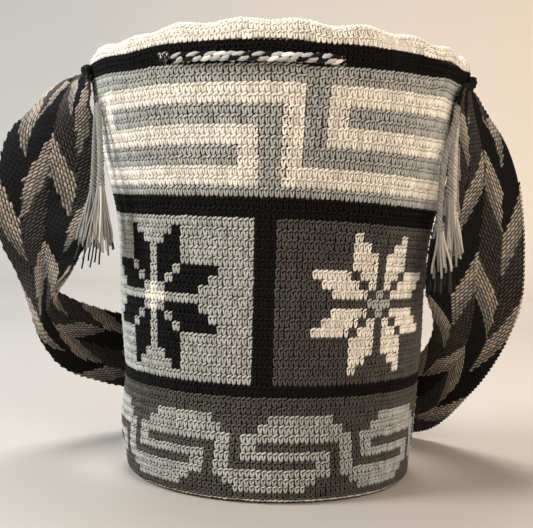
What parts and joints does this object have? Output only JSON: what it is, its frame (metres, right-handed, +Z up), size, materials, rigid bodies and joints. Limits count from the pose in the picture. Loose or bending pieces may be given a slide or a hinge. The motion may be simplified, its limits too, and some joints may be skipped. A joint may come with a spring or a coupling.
{
  "type": "wayuu mochila bag",
  "caption": "Round crocheted shoulder bag with a flat base, patterned bands, a drawstring rim, a woven chevron strap and twisted tassels.",
  "frame": {"origin": "middle of the flat base, on the axis of the bag, on the surface that it stands on", "axes": "+Z up along the bag's axis, -Y towards the front between the two strap seams, +X towards the right strap seam"},
  "size_m": [0.3769, 0.3186, 0.3],
  "materials": {
    "crochet_cotton": "matte",
    "woven_band": "matte",
    "braided_cord": "matte",
    "tassel_yarn": "matte"
  },
  "bodies": {
    "root": {"bag_body": "crochet_cotton", "strap": "woven_band", "drawstring": "braided_cord", "tassel_left_1": "tassel_yarn", "tassel_left_2": "tassel_yarn", "tassel_right_1": "tassel_yarn", "tassel_right_2": "tassel_yarn", "tassel_right_3": "tassel_yarn", "tassel_right_4": "tassel_yarn"}
  },
  "joints": []
}
